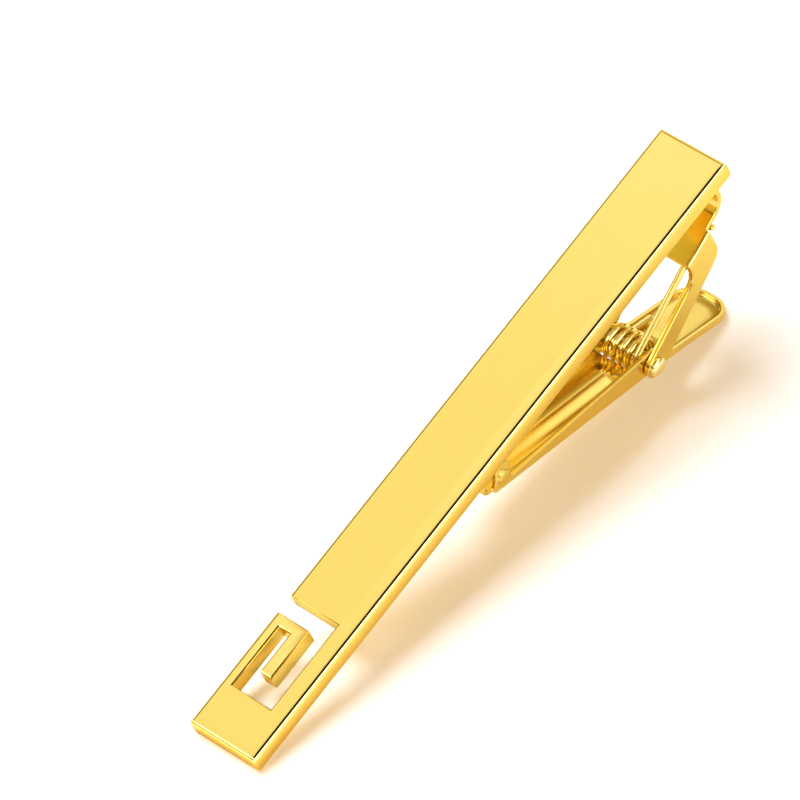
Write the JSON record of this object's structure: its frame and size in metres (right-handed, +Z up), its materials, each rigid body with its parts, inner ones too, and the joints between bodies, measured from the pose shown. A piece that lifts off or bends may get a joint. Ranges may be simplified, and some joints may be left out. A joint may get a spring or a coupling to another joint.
{
  "type": "tie clip",
  "caption": "Gold-plated tie clip: a slim flat bar with a Greek key cut through one end, and a sprung pinch jaw hinged behind it that grips a tie.",
  "frame": {"origin": "middle of the bounding box, on the table plane on which the clip rests on its near end and its thumb end", "axes": "+X from the Greek key end towards the hinge end, +Y towards the edge where the key opens, +Z up from the table"},
  "size_m": [0.0585, 0.0066, 0.0181],
  "materials": {
    "bar_plate": "mirror polished gold plate",
    "clasp_plate": "polished gold plate on pressed sheet",
    "spring_wire": "bright gold plated spring wire"
  },
  "bodies": {
    "bar": {"front_bar": "bar_plate", "hinge_bracket": "clasp_plate", "pivot_rivet": "clasp_plate", "torsion_spring": "spring_wire"},
    "jaw": {"clip_jaw": "clasp_plate"}
  },
  "joints": [
    {"name": "jaw_open", "type": "hinge", "parent": "bar", "child": "jaw", "pos_m": [0.01904, 0, 0.00295], "axis": [0, -1, 0], "range_deg": [0, 25], "stiffness_Nm_per_rad": 0.02, "springref_deg": -85.94, "deforming": ["torsion_spring"]}
  ]
}
